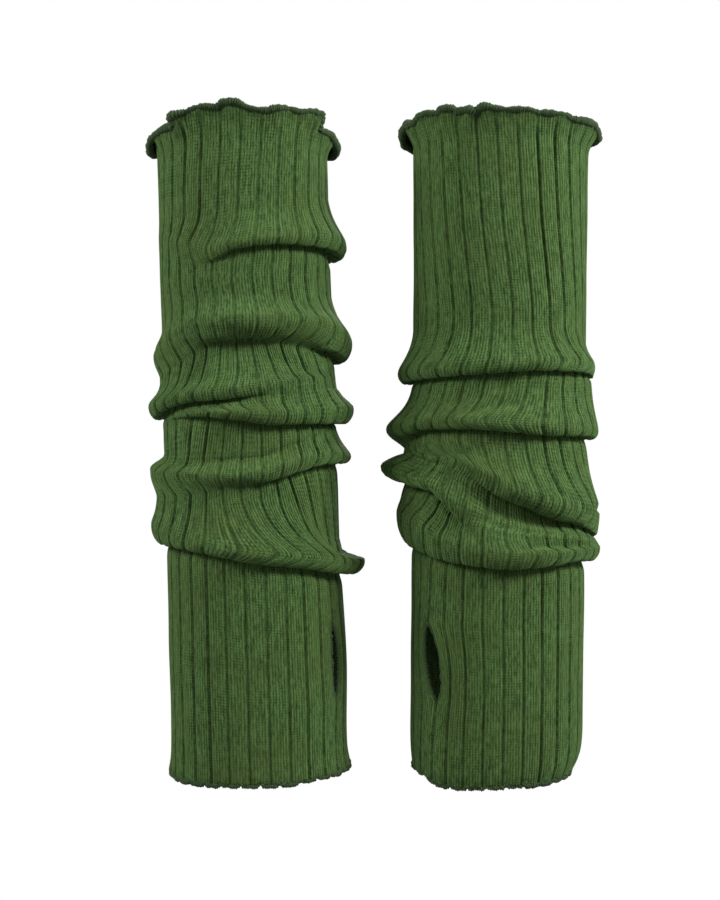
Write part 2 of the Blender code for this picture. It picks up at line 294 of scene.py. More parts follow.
knit = {
    "ribs": 28, "length": 272.6, "wall": 2.1, "rimWall": 0.55, "rimWallOver": 8.0,
    # grooves and round ribs: depths in mm, widths in rib pitches; they fade out towards the upper edge
    "grooveDepth": 1.05, "grooveWidth": 0.042, "shoulder": 0.12, "shoulderWidth": 0.13, "crown": 0.42,
    "grooveUneven": 0.35, "grooveUnevenOver": 21, "groovePlain": 10.0, "grooveLeast": 0.25,
    # the mesh's columns in rib pitches, and its rows
    "columns": (0.0, 0.03, 0.065, 0.12, 0.28, 0.5, 0.72, 0.88, 0.935, 0.97),
    "innerColumns": (0.0, 0.3333, 0.6667), "innerEvery": 3,
    "rowSpacing": 2.4, "foldSpacing": 1.42,
    # stretches down the tube: below the upper edge, below a crease, under a lip, and at the hem
    "neck": 10.5, "after": 3.5, "lipBack": 1.7, "foldsEnd": 204.0, "hemLevel": 274.0, "hemTurn": 14.0,
    # the cloth ends so far inside its edge rolls; a rim curls over once its drop is so far past rimTop
    "rimInside": 0.5, "hemInside": 0.4, "curlStarts": 1.0, "curlOver": 3.0, "merged": 0.02,
    # how far (out, down) the hem's turn has come at its rows
    "hemProfile": ((0.02, 0.0), (0.10, 0.35), (0.38, 0.68), (1.0, 1.0)),
    # the thumb slit; over so many degrees the ribs beside it part, and give way to its pull
    "slitMiddle": 226.0, "slitPoint": 1.2, "slitBorder": 0.25, "borderOver": 8.0, "partOver": 20.0,
    "borderThins": 0.35, "borderWidth": 0.12, "borderEnds": 1.06,
    # how much the ribs part further off, and over how much of the slit's length all of this fades
    "partShare": 0.65, "partFades": 0.85, "pullFades": 1.3, "swellFades": 1.7, "swellAt": 26, "swellOver": 22,
    "scallopDepth": 1.3, "scallopWidth": 0.11, "scallopUneven": 0.9, "unevenBy": 0.28, "unevenOver": 26.0,
}

# Each fold by its curves round the tube, {angle: value}. It begins at a drop, with its foot so far out
# from the plain tube; its crest stands out further, and in the crease under it the cloth tucks in. The
# lip hangs so far over the crease. The ribs turn so many degrees at the crest and slide so many at the
# crease. A shelf of 1 makes the fold stand out square from its beginning, and 0 lets it slope.
leftFolds = [
    {"begins": {-90: 40, -30: 42, 0: 40, 45: 35, 90: 31, 180: 36},
     "foot": {0: 0},
     "crest": {-90: 47, -30: 52, -12: 56, 0: 53.8, 31: 50, 60: 48.5, 90: 49.5, 180: 49},
     "stands": {-140: 1, -90: 0.3, -30: 0.6, -12: 1.7, 5: 3.8, 31: 4.8, 60: 6.0, 90: 7.4, 130: 5, 180: 3},
     "crease": {-90: 55, -30: 62, -16: 61.6, -9: 59.4, -3: 57.4, 9: 55.7, 30: 54.4, 60: 54.2, 78: 55,
                90: 56.7, 120: 56, 180: 54},
     "tucks": {-140: 0.8, -90: 0.2, -45: 0.4, -12: 0.4, 5: 0, 31: 0, 90: 0, 180: 0},
     "lip": {-140: 0, -90: 0, -30: 0, -15: 0.5, -5: 1.2, 10: 2.0, 31: 2.6, 90: 3.5, 130: 2.5, 180: 1.5},
     "turn": {-75: 0, -50: -3, -28: -6, -5: -3, 20: 0, 90: 2, 180: 0}, "slide": {-60: 0, -30: 0, 0: 0}},
    {"begins": {-90: 89, -45: 78, 0: 75, 45: 75, 90: 73, 180: 75},
     "foot": {0: 0},
     "crest": {-90: 97.5, -60: 91.5, -30: 85.6, -12: 83.8, 8: 83.2, 30: 83.4, 60: 85, 90: 90.5, 180: 92},
     "stands": {-90: 3.9, -45: 3.6, -20: 4.6, 0: 5.8, 30: 6.2, 60: 6.8, 90: 8.2, 130: 6, 180: 4},
     "crease": {-90: 107, -60: 103, -30: 96, 0: 93.0, 30: 93.6, 45: 94.8, 60: 96, 75: 97.5, 90: 100.3,
                120: 101, 180: 101},
     "tucks": {-90: 1.3, -45: 0.2, -20: -1.3, 0: -1.8, 30: -1.4, 45: -0.9, 60: -0.4, 90: 0.1, 180: 0.5},
     "lip": {-90: 0, -50: 0, -30: 0.3, -10: 0.8, 10: 0.8, 30: 0.5, 45: 0.2, 60: 0.6, 75: 2, 90: 3.5,
             130: 2, 180: 0.5},
     "turn": {-90: 3, -65: 4, -40: 3, -15: 0, 20: 0, 90: 0, 180: 0},
     "slide": {-90: 8, -65: 10, -45: 9, -25: 3, 0: -2, 25: -8, 45: -11, 65: -9, 90: 0, 180: 0}},
    {"begins": {-90: 110.5, -60: 108.5, -30: 107, 0: 105.5, 30: 104, 90: 103.5, 180: 108},
     "foot": {-90: 1.3, -45: 0.8, 0: 0.4, 45: 0.2, 90: 0.2, 180: 0.8},
     "crest": {-90: 118.5, -60: 117.3, -30: 114, -14: 113.2, 0: 112.2, 10: 111.5, 20: 110.4, 45: 108, 90: 107,
               180: 116},
     "stands": {-90: 6.4, -60: 5.8, -33: 5, 0: 4.4, 20: 3, 45: 1.4, 90: 0.5, 135: 2, 180: 4.8},
     "crease": {-90: 125.3, -75: 124, -60: 122, -45: 120, -30: 118.7, -14: 118, 0: 116.8, 10: 116, 20: 114.9,
                40: 112.5, 90: 111, 135: 114, 180: 123},
     "tucks": {-90: 0.3, -60: 0, -33: 0, 0: 1.8, 20: 2.0, 45: 1.6, 90: 0.9, 135: 1.6, 180: 0},
     "lip": {-90: 3, -60: 2.8, -33: 2.6, -10: 1.6, 5: 0.6, 20: 0, 90: 0, 180: 1.5},
     "turn": {-90: 2, -60: 2, -30: -2, 0: -2, 30: 0, 180: 0}, "slide": {-90: 0, -45: -2, 0: 0, 180: 0}},
    {"begins": {-90: 127, -60: 123.8, -45: 121.4, -38: 120.6, -20: 119.6, 0: 118.4, 20: 116.4, 45: 114,
                90: 112, 135: 115.5, 180: 124.5},
     "foot": {-90: 0.3, -38: 0.8, 0: 2.6, 45: 2.4, 90: 1.8, 135: 2, 180: 0.2},
     "crest": {-90: 128.5, -60: 124.8, -45: 122.5, -38: 122.2, -15: 122, 0: 122.2, 20: 122.2, 45: 121,
               90: 118.9, 135: 120, 180: 125.5},
     "stands": {-90: 0.3, -60: 0.5, -48: 1.6, -38: 3.2, -20: 4.6, 0: 5.0, 45: 5.6, 90: 8, 135: 6, 180: 2.5},
     "crease": {-90: 130, -60: 126, -48: 124.8, -38: 124.4, -15: 125.6, 0: 126.7, 15: 128, 45: 127.6,
                90: 127, 135: 126.5, 180: 127.5},
     "tucks": {-90: 0.2, -60: 0.2, 0: 0, 90: 0, 180: 0},
     "lip": {-90: 0, -60: 0, -48: 0.4, -38: 1.2, -22: 2.3, 0: 2.6, 45: 2.4, 90: 2.5, 135: 2, 180: 0.5},
     "turn": {-60: 0, -40: 5, -25: 9, -5: 8, 15: 4, 40: 0, 180: 0},
     "slide": {-60: 0, -35: 5, -10: 3, 15: 0}},
    {"begins": {-90: 140.8, -75: 141.8, -60: 142.6, -35: 143, -12: 142.6, 11: 141, 27: 137.6, 33: 136,
                47: 133.2, 60: 130.8, 90: 128.8, 135: 130, 180: 137},
     "foot": {0: 0},
     "crest": {-90: 146.2, -60: 147.4, -35: 147.8, -12: 147.8, 0: 147.2, 11: 146.2, 27: 142.6, 45: 140.3,
               60: 139, 90: 140, 135: 141, 180: 146},
     "stands": {-90: 6.6, -45: 4.6, 0: 4.0, 45: 5.0, 90: 6.2, 135: 5, 180: 4},
     "crease": {-90: 157.0, -60: 157, -30: 155.5, -10: 153, 15: 150.8, 40: 147.4, 60: 144.4, 90: 143.8,
                135: 145.5, 180: 152},
     "tucks": {-90: 3.9, -60: 2.8, -30: 1.6, 0: 0.2, 20: -0.2, 45: 0, 90: 0, 180: 1.5},
     "lip": {-90: 0, -15: 0, 0: 0.4, 15: 1.2, 40: 2.0, 90: 2.5, 135: 1.5, 180: 0.3},
     "turn": {-90: -3, -60: -4, -40: -3, -20: 0, 0: 0, 45: -3, 75: -5, 100: 0, 180: 0},
     "slide": {-90: 3, -60: 5, -40: 5, -20: 2, 0: -1, 20: -3, 45: -9, 65: -9, 90: -3, 180: 0},
     "shelf": {-90: 1, -45: 0.8, -15: 0.3, 10: 0.2, 60: 0, 180: 0.3}},
    {"begins": {-90: 159.5, -60: 160, -30: 159, 0: 158, 30: 162, 48: 169, 60: 177, 75: 181.8, 90: 182.8,
                108: 181.8, 125: 177, 180: 163},
     "foot": {-90: 4.0, -60: 2.9, -30: 1.7, 0: 0.6, 30: 0.2, 60: 0, 90: 0, 180: 1.6},
     "crest": {-90: 169, -60: 172, -30: 176, 0: 180.5, 30: 182.5, 60: 184.2, 75: 184.5, 90: 184.8,
               108: 184.2, 125: 182, 180: 178},
     "stands": {-90: 6.6, -45: 5.4, 0: 5.2, 30: 5.8, 60: 8.2, 90: 10.4, 110: 8, 180: 5},
     "crease": {-90: 177.8, -60: 178.4, -30: 180, 0: 184.6, 30: 186.9, 60: 190, 90: 191.4, 120: 190,
                180: 184},
     "tucks": {0: 0},
     "lip": {-90: 2.5, -45: 2.5, 0: 2.8, 45: 3, 90: 4, 180: 2},
     "turn": {-90: 2, -60: 3, -45: 2, -30: 3, -14: 13, 0: 21, 15: 24, 38: 19, 60: 10, 80: 4, 100: 0,
              180: 0},
     "slide": {0: 0},
     "shelf": {-90: 0, 40: 0, 68: 0.6, 82: 1, 100: 1, 130: 0}},
]

# Small creases and ridges on top of the folds: a line of (angle, drop), its half width in mm, and how
# deep it presses in. Less than 0 lifts.
leftStrokes = [
    ([(-66, 142.4), (-48, 143.2), (-30, 142.8), (-12, 142), (11, 140.5), (27, 137), (47, 132.8)], 0.9, 0.85),
    ([(-48, 86), (-20, 89), (0, 91), (24, 91)], 2.2, 0.6),
    ([(-40, 62), (-22, 65), (-4, 64)], 1.6, 0.35),
    ([(-66, 46), (-44, 49), (-30, 53)], 1.4, 0.45),
    ([(8, 99), (30, 101.5), (52, 106)], 1.8, 0.45),
    ([(-70, 148), (-40, 151.5), (-16, 153.5)], 1.6, 0.4),
    ([(-24, 163), (0, 171), (18, 179)], 1.6, -0.35),
    ([(10, 162), (28, 172), (44, 181)], 1.5, -0.35),
    ([(-34, 166), (-12, 176), (0, 180)], 1.5, 0.3),
    ([(96, 76), (122, 80), (150, 78)], 1.8, 0.6),
    ([(120, 112), (150, 118), (184, 116)], 1.5, 0.6),
    ([(150, 160), (180, 168), (214, 171)], 1.8, -0.5),
    ([(186, 44), (215, 49), (240, 47)], 1.6, 0.5),
    ([(196, 97), (225, 101), (246, 99)], 1.6, 0.5),
]

rightFolds = [
    {"begins": {-90: 88, 0: 87, 45: 88, 90: 95, 180: 90},
     "foot": {0: 0},
     "crest": {-90: 104.5, -45: 104, 0: 102, 45: 101, 90: 102.3, 180: 102},
     "stands": {-90: 6.9, -45: 5, 0: 4.4, 45: 4, 90: 4, 180: 4},
     "crease": {-90: 109.9, -70: 109.2, -45: 108.5, -15: 107.4, 15: 105.9, 45: 106, 70: 106.5, 90: 107.7,
                180: 107},
     "tucks": {-90: 0.8, -45: 0, 45: 0.2, 90: 2.6, 120: 1.5, 180: 0.4},
     "lip": {-90: 2.8, -45: 2.6, 0: 2.6, 45: 2.4, 75: 1.4, 90: 0.5, 120: 1, 180: 1.5},
     "turn": {-90: -4, -65: -9, -45: -8, -25: -3, 0: 0, 20: 4, 40: 10, 60: 13, 80: 9, 105: 2, 180: 0},
     "slide": {-60: -3, 0: 0, 60: 4, 110: 0, 180: 0}},
    {"begins": {-90: 113, -45: 112, 0: 113, 45: 113, 90: 109.5, 180: 111},
     "foot": {-90: 0.8, -45: 0, 45: 0.2, 90: 2.7, 180: 0.4},
     "crest": {-90: 128.4, -60: 126.4, -45: 125.2, 0: 126.2, 45: 128.5, 90: 129.5, 180: 127},
     "stands": {-90: 11.8, -70: 9.2, -45: 6.4, 0: 5.0, 45: 5, 90: 5.7, 180: 5},
     "crease": {-90: 137.0, -75: 135.2, -62: 131.6, -52: 130.0, -45: 129.7, -20: 129.6, 0: 130.5,
                30: 132.4, 60: 132.6, 90: 133.7, 180: 132.5},
     "tucks": {-90: 3.6, -70: 2, -45: 1, -20: 0.3, 0: 0, 90: 0.4, 180: 0.3},
     "lip": {-90: 0, -76: 0, -62: 0.9, -45: 1.6, -20: 2.2, 0: 2.6, 45: 2.6, 90: 2.5, 180: 1.5},
     "turn": {-90: -3, -60: -5, -45: -5, -30: -8, -12: -13, 4: -12, 20: -7, 36: -2, 60: 2, 90: 1, 180: 0},
     "slide": {-90: 0, -75: -3, -60: -7, -42: -7, -22: -3, 0: 0, 180: 0}},
    {"begins": {-90: 137.2, -60: 136.4, -45: 133.5, 0: 134, 45: 136.5, 90: 139.5, 180: 136},
     "foot": {-90: 3.6, -60: 1.8, -45: 1, 0: 0.1, 90: 0.8, 180: 0.3},
     "crest": {-90: 137.9, -70: 138.8, -56: 140.4, -42: 141.6, -30: 143.6, -20: 146.5, -10: 150, 0: 153.5,
               20: 157.5, 45: 161.5, 90: 163.4, 135: 160, 180: 150},
     "stands": {-90: 3.6, -70: 2.6, -56: 2.6, -42: 3.0, -30: 3.6, -14: 4.6, 0: 5.2, 45: 6.0, 90: 6.6,
                135: 5.5, 180: 4},
     "crease": {-90: 138.8, -70: 141.0, -56: 143, -42: 145.4, -30: 148.8, -20: 152.6, -10: 156.8, 0: 159.8,
                10: 162.0, 19: 164.9, 30: 167.2, 46: 169, 60: 171.6, 90: 175.5, 135: 171, 180: 157},
     "tucks": {-90: 3.8, -70: 2.2, -56: 2.0, -42: 2.4, -30: 2.0, -20: 0.6, -10: -1.4, 0: -3.0, 15: -3.6,
               30: -2.8, 45: -0.8, 60: 2, 90: 5, 135: 3, 180: 1},
     "lip": {-90: 0, -70: 0.3, -56: 0.3, -42: 0, -30: 0.3, -20: 0.8, -10: 1.6, 0: 2.6, 20: 3.2, 40: 3.0,
             60: 1.8, 90: 0.5, 180: 0.5},
     "turn": {-90: 0, -65: 7, -45: 10, -20: 8, 0: 6, 25: 10, 45: 14, 65: 12, 85: 6, 120: 2, 180: 0},
     "slide": {-90: 4, -70: 8, -45: 6, -25: 4, 0: 3, 45: 3, 85: 1, 180: 0}},
    {"begins": {-90: 139.8, -70: 142.6, -56: 144.6, -42: 147.2, -30: 151.0, -20: 155.6, -10: 160.4, 0: 163.8,
                20: 168.0, 45: 170.8, 90: 176.2, 135: 172, 180: 158.5},
     "foot": {-90: 6.4, -70: 3.6, -56: 3.2, -42: 3.4, -30: 2.8, -20: 1.2, -10: -0.8, 0: -2.2, 20: -2.4,
              45: 0.4, 60: 2.6, 90: 5.1, 135: 3, 180: 1.2},
     "crest": {-90: 144.6, -75: 146.0, -57: 149.4, -47: 152, -38: 155.4, -30: 159.0, -20: 162.0, -10: 165.4,
               0: 167.8, 20: 170.6, 45: 172.6, 90: 176.8, 180: 160},
     "stands": {-90: 14.0, -75: 10.6, -60: 8.0, -47: 6.8, -38: 6.2, -30: 5.4, -20: 4.2, -10: 2.2, 0: 0.9,
                20: 0.4, 45: 2.2, 60: 3.4, 90: 5.6, 135: 3.8, 180: 2},
     "crease": {-90: 151.9, -75: 153.4, -57: 155.4, -47: 158.9, -37: 163, -32: 166.2, -26: 168.6, -18: 168.8,
                -10: 169.6, 0: 171.2, 20: 173.0, 45: 174.2, 90: 177.4, 180: 162},
     "tucks": {-90: 3.6, -75: 2.6, -57: 1.2, -47: 0.9, -37: 1.2, -32: 2.0, -26: 3.8, -18: 4.6, -10: 4.0,
               0: 3.0, 20: 2.2, 45: 3.2, 60: 4.2, 90: 6, 135: 4, 180: 2.2},
     "lip": {-90: 0.5, -76: 0.8, -60: 2.2, -47: 2.8, -38: 2.6, -32: 1.6, -27: 0.5, -22: 0, 90: 0, 180: 0},
     "turn": {-90: 0, -60: 2, -45: 3, 0: 2, 45: 3, 90: 2, 180: 0},
     "slide": {-90: 8, -75: 18, -62: 16, -52: 11, -35: 3, -25: 0, 180: 0},
     "shelf": {-112: 0, -92: 0.8, -80: 0.6, -62: 0, 180: 0}},
    {"begins": {-90: 155.5, -60: 157.5, -47: 161.5, -37: 165.8, -30: 169.4, -20: 170.9, -10: 171.7, 0: 173.2,
                20: 174.8, 45: 175.9, 90: 178, 180: 163},
     "foot": {-90: 4.4, -57: 2.8, -47: 2.2, -37: 2.4, -30: 3.4, -20: 4.9, -10: 4.4, 0: 3.6, 20: 3.2,
              45: 4.0, 60: 5.0, 90: 6.3, 135: 4.5, 180: 2.5},
     "crest": {-90: 163.4, -70: 165, -45: 171, -30: 175.5, 0: 178.5, 30: 179, 60: 178.8, 90: 178.8,
               180: 179},
     "stands": {-90: 6.9, -60: 6.2, -45: 5.8, 0: 5.6, 45: 5.8, 90: 6.8, 180: 5},
     "crease": {-90: 178, -60: 180.5, -45: 182.9, -20: 185.3, 0: 186.6, 30: 185.5, 45: 184.4, 90: 185.5,
                135: 186, 180: 185},
     "tucks": {0: 0},
     "lip": {-90: 0.8, -60: 1.6, -30: 2.4, 0: 2.6, 60: 2.2, 90: 1.0, 120: 1.4, 180: 2},
     "turn": {-90: 3, -60: 2, -45: 1, -20: 0, 0: 3, 25: 7, 50: 5, 75: 0, 180: 0}, "slide": {0: 0}},
]

rightStrokes = [
    ([(-26, 162.5), (-16, 165.6), (-8, 168), (4, 170.2), (16, 171.2), (30, 171.6)], 0.8, 0.6),
    ([(12, 172.5), (30, 173), (50, 174.5), (66, 175.5)], 1.6, -0.7),
    ([(2, 178.8), (12, 177.3), (21, 176.2), (35, 176.6), (55, 177), (75, 177.4)], 0.9, 1.2),
    ([(-78, 140.2), (-56, 143), (-44, 145.6), (-30, 149.2), (-16, 153.6)], 0.9, 0.6),
    ([(-68, 141), (-57, 146), (-48, 153.6), (-38, 160.8), (-30, 167)], 0.9, 0.9),
    ([(66, 161.4), (80, 162.8), (96, 163.4), (116, 162.4)], 1.0, 1.6),
    ([(-34, 165), (-24, 170), (-14, 174)], 1.3, 0.6),
    ([(-30, 123), (-26, 122.4), (-12, 120.2), (0, 119.2), (12, 119.6)], 1.3, 0.7),
    ([(18, 118), (40, 121.5), (62, 120)], 1.6, 0.45),
    ([(-36, 140), (-18, 146), (0, 149)], 1.8, -0.35),
    ([(20, 150), (38, 157), (50, 161)], 1.4, 0.4),
    ([(48, 150), (62, 159), (72, 165)], 1.4, 0.4),
    ([(-72, 158), (-58, 168), (-50, 176)], 1.4, 0.35),
    ([(110, 96), (140, 100), (168, 97)], 1.8, 0.5),
    ([(120, 142), (150, 149), (190, 146)], 1.6, 0.6),
    ([(176, 120), (205, 123), (236, 119)], 1.5, 0.55),
    ([(190, 170), (220, 173), (250, 168)], 1.6, -0.5),
]

# Each warmer: where its axis is and its radius, at the upper and the lower edge; its thumb slit, the
# curves of its two edges round the tube, how deep its ribs are (ribbing) and how thick the roll on its
# upper edge is (rollBy). Where a rim's drop passes rimTop, the edge curls over outside. Drift is
# {drop: degrees} and turns the ribs all round. Calm spots, (angle, drop, wide, high, share), make the
# ribs shallower where the cloth is drawn tight. A slit is pulled round by so many degrees in its middle,
# its ends tilt by so many, and the cloth beside it swells by so many mm.
warmers = {
    "left": {
        "axis": (-50.8, -43.0), "radius": (36.2, 37.6),
        "slit": {"angle": 62.0, "pull": 5.0, "tilt": 0.7, "halfLength": 15.5, "halfWidth": 3.2, "swell": 1.4},
        "bumpShift": 0.0,
        "folds": leftFolds,
        "rimTop": {-115: 9, -96: 3.6, -60: 3.6, -50: 9, 55: 9, 70: 3.2, 100: 3.6, 120: 9, 180: 9},
        "rimTurn": {-60: 1, -51: 3, -46: -3, -38: 0, 46: 0, 54: 3, 61: -3, 70: 0, 180: 0},
        "rimDrop": {-165: 1, -150: 3.2, -138: 2.5, -125: 6, -105: 9.3, -93: 9.6, -86: 8.0, -79: 6.2, -70: 5.0,
                    -56: 4.1, -50: 4.3, -45: 0.8, -38: -0.8, -26: -2.2, -18: -1.7, -13: -3.4, -6: -3.5, 0: -1.9,
                    7: -0.8, 14: -0.5, 19: -1.6, 30: -2.3, 38: -1.8, 47: -2.9, 55: -3.0, 60: 3.6, 69: 3.5,
                    78: 4.2, 85: 5.6, 91: 7.7, 98: 9.4, 108: 8.6, 120: 5, 135: 2.5, 150: 3.5, 165: 1.2,
                    180: 2.4},
        "rimOut": {-165: 3, -150: 1.5, -138: 2.8, -125: 2, -105: 2.2, -90: 2.6, -80: 2.8, -66: 2.4, -52: 2.0,
                   -44: 4.4, -36: 2.0, -28: 2.6, -16: 1.2, -7: 3.2, 3: 1.4, 12: 2.4, 21: 3.2, 30: 1.4, 40: 2.4,
                   54: 3.6, 61: 2.2, 70: 2.8, 80: 3.4, 90: 3.8, 99: 3.0, 120: 1.8, 135: 3.2, 150: 1.6,
                   165: 3.2, 180: 1.8},
        "hemDrop": {-90: 275.6, -70: 275.8, -45: 275.2, -15: 274.6, 15: 274.4, 45: 273.3, 75: 273.0,
                    90: 272.6, 180: 275},
        "hemOut": {-90: 1.3, -70: 0.5, 0: 0, 90: 1.4, 180: 0.3},
        "drift": {0: 6, 14: 5, 25: 3.4, 40: 2, 55: -1, 67: -3, 80: -1, 95: 0, 300: 0},
        "ribbing": {-135: 0.7, -90: 1.3, -55: 1.15, -35: 0.8, -12: 0.42, 16: 0.42, 40: 0.8, 68: 1.1, 90: 1.2,
                    135: 0.7, 180: 0.8},
        "rollBy": {-90: 1.45, -60: 1.25, -30: 1.15, -10: 1.3, 0: 0.95, 50: 1.1, 90: 1.4, 130: 1.0, 180: 1.1},
        "strokes": leftStrokes,
        "calm": [(-42, 121, 16, 6, 0.75), (2, 60, 22, 30, 0.3)],
    },
    "right": {
        "axis": (60.6, 58.4), "radius": (37.0, 36.9),
        "slit": {"angle": -52.4, "pull": 0.0, "tilt": 5.0, "halfLength": 15.5, "halfWidth": 4.8, "swell": 0.0},
        "bumpShift": 0.3,
        "folds": rightFolds,
        "rimTop": {-120: 9, -102: -2.8, -80: -3.2, -72: -1, -60: 9, 70: 9, 80: 1.2, 100: 1.4, 120: 9, 180: 9},
        "rimTurn": {-90: 0, -76: -3, -68: 2, -60: -2, -50: 0, -30: 1, -16: 2, -8: -2, 0: 0, 180: 0},
        "rimDrop": {-165: 3, -150: 1.4, -135: 3.6, -120: 2.6, -110: 5.2, -96: 4.8, -90: 2.9, -84: 0.2,
                    -78: -2.4, -72: -1, -66: -0.4, -58: -2.3, -50: -2.5, -42: -1.6, -36: -2.7, -30: -2.3,
                    -26: -0.8, -20: -1.0, -14: 0.3, -6: -1.7, 0: -0.7, 8: -0.3, 18: -0.5, 26: 0.5, 36: 0.3,
                    43: 0.2, 50: 0.9, 55: 1.4, 64: 1.2, 74: 1.0, 84: 2.6, 92: 4.4, 105: 5.0, 120: 3, 135: 4,
                    150: 2, 165: 3.4, 180: 1.6},
        "rimOut": {-165: 3.2, -150: 1.8, -135: 3.4, -120: 2, -105: 3.4, -90: 5.0, -79: 4.2, -66: 3, -60: 2.4,
                   -54: 3.2, -41: 1.8, -36: 3, -25: 1.6, -18: 2.6, -12: 1.2, -4: 3, 6: 1.8, 18: 2.2, 28: 1.4,
                   40: 2.6, 50: 1.8, 60: 3.6, 70: 3.8, 83: 4.2, 92: 3.8, 105: 2.8, 120: 1.8, 135: 3.2,
                   150: 1.6, 165: 3, 180: 1.6},
        "hemDrop": {-90: 272.8, -58: 274.0, -50: 276.2, -28: 276.6, 0: 275.1, 30: 274.8, 60: 274.6,
                    90: 273.6, 180: 274},
        "hemOut": {-90: -0.8, -45: -0.3, 0: -1, 45: -3.2, 75: -4.4, 90: -4.4, 120: -3, 180: -1},
        "drift": {0: -7.5, 12: -6.3, 42: -3, 63: 1, 83: 4, 100: 4, 113: 0, 300: 0},
        "ribbing": {-135: 0.7, -90: 1.1, -60: 0.9, -28: 0.62, 0: 0.42, 12: 0.5, 30: 0.84, 60: 1.12, 90: 1.1,
                    135: 0.7, 180: 0.8},
        "rollBy": {-110: 1.3, -75: 1.5, -45: 1.3, -15: 1.5, 0: 1.05, 60: 1.1, 85: 1.4, 120: 1.0, 180: 1.1},
        "strokes": rightStrokes,
        "calm": [(-34, 149, 24, 12, 0.75), (6, 163, 22, 6, 0.5)],
    },
}


def roundTube(stops):
    # a smooth closed curve through {angle: value}, without swinging past the values
    keys = sorted(stops)
    if len(keys) == 1:
        return lambda angle: stops[keys[0]]
    xs = keys + [keys[0] + 360]
    ys = [stops[k] for k in keys] + [stops[keys[0]]]
    slopes = []
    for i in range(len(keys)):
        lastX = xs[i - 1] if i else xs[-2] - 360
        lastY = ys[i - 1] if i else ys[-2]
        before, after = (ys[i] - lastY) / (xs[i] - lastX), (ys[i + 1] - ys[i]) / (xs[i + 1] - xs[i])
        slopes.append(2 * before * after / (before + after) if before * after > 0 else 0.0)
    slopes.append(slopes[0])

    def value(angle):
        angle = (angle - xs[0]) % 360 + xs[0]
        i = min(bisect_right(xs, angle) - 1, len(keys) - 1)
        width = xs[i + 1] - xs[i]
        t = (angle - xs[i]) / width
        return (ys[i] * (1 + 2 * t) * (1 - t) ** 2 + ys[i + 1] * t * t * (3 - 2 * t)
                + width * t * (1 - t) * (slopes[i] * (1 - t) - slopes[i + 1] * t))
    return value


def prepared(w):
    # the warmer with each of its tables as a function of the angle
    w = dict(w)
    for name in ("rimDrop", "rimTop", "rimOut", "rimTurn", "hemDrop", "hemOut", "drift", "ribbing", "rollBy"):
        w[name] = roundTube(w[name])
    w["folds"] = [{name: roundTube(stops) for name, stops in {"shelf": {0: 0}, **fold}.items()}
                  for fold in w["folds"]]
    return w


def between(a, b, share):
    return a + (b - a) * share


def clamped(value):
    return min(1.0, max(0.0, value))


def columnAngle(w, column):
    # the angle of a column that stands so many ribs round from the slit
    return w["slit"]["angle"] + column * 360 / knit["ribs"]


def foldPoints(fold, angle, room, carried):
    # (out, drop, turn) down one fold; room is the stretch to the next fold's beginning, and carried
    # the turn that the ribs come in with
    begins, foot, crest, stands, crease, tucks, lip, turn, slide, shelf = (fold[name](angle) for name in (
        "begins", "foot", "crest", "stands", "crease", "tucks", "lip", "turn", "slide", "shelf"))
    sharp = min(1.0, lip)
    after = min(knit["after"] * (1.6 - 0.6 * sharp), 0.45 * room)
    back = knit["lipBack"] * sharp

    def rising(out, down, turned):
        # on the way out to the crest
        return between(foot, stands, out), between(begins, crest, down), between(carried, turn, turned)

    def under(soft, hard, turned):
        # below the crest, between a soft trough's (out, down) shares and an overhanging lip's (out, drop)
        out, drop = between(stands, tucks, soft[0]), between(crest, crease, soft[1])
        return between(out, hard[0], sharp), between(drop, hard[1], sharp), between(turn, slide, turned)
    return [
        (foot, begins, carried),
        rising(0.22 + 0.46 * shelf, 0.40, 0.20),
        rising(0.70 + 0.28 * shelf, 0.74, 0.60),
        (stands, between(begins, crest, 0.95), turn),
        under((0.05, 0.25), (stands, between(crest, crease, 0.35)), 0.1),
        under((0.22, 0.45), (between(stands, tucks, 0.16), between(crest, crease, 0.72)), 0.35),
        under((0.52, 0.65), (between(stands, tucks, 0.48), crease + 0.2), 0.6),
        under((0.80, 0.83), (between(stands, tucks, 0.76), crease - 0.3 * lip), 0.8),
        (tucks - back, between(crease, crease - lip, sharp), slide),
        (tucks - 0.5 * back, crease - 0.2 * lip + 0.3 * after, 0.95 * slide),
        (tucks, crease + after, 0.85 * slide),
    ]


def hanging(w, angle):
    # 1 where the upper edge hangs over outside, 0 where it stands
    over = clamped((w["rimDrop"](angle) - w["rimTop"](angle) - knit["curlStarts"]) / knit["curlOver"])
    return over * over * (3 - 2 * over)


def wallPoints(a, b, count):
    return [tuple(between(x, y, (i + 1) / (count + 1)) for x, y in zip(a, b)) for i in range(count)]


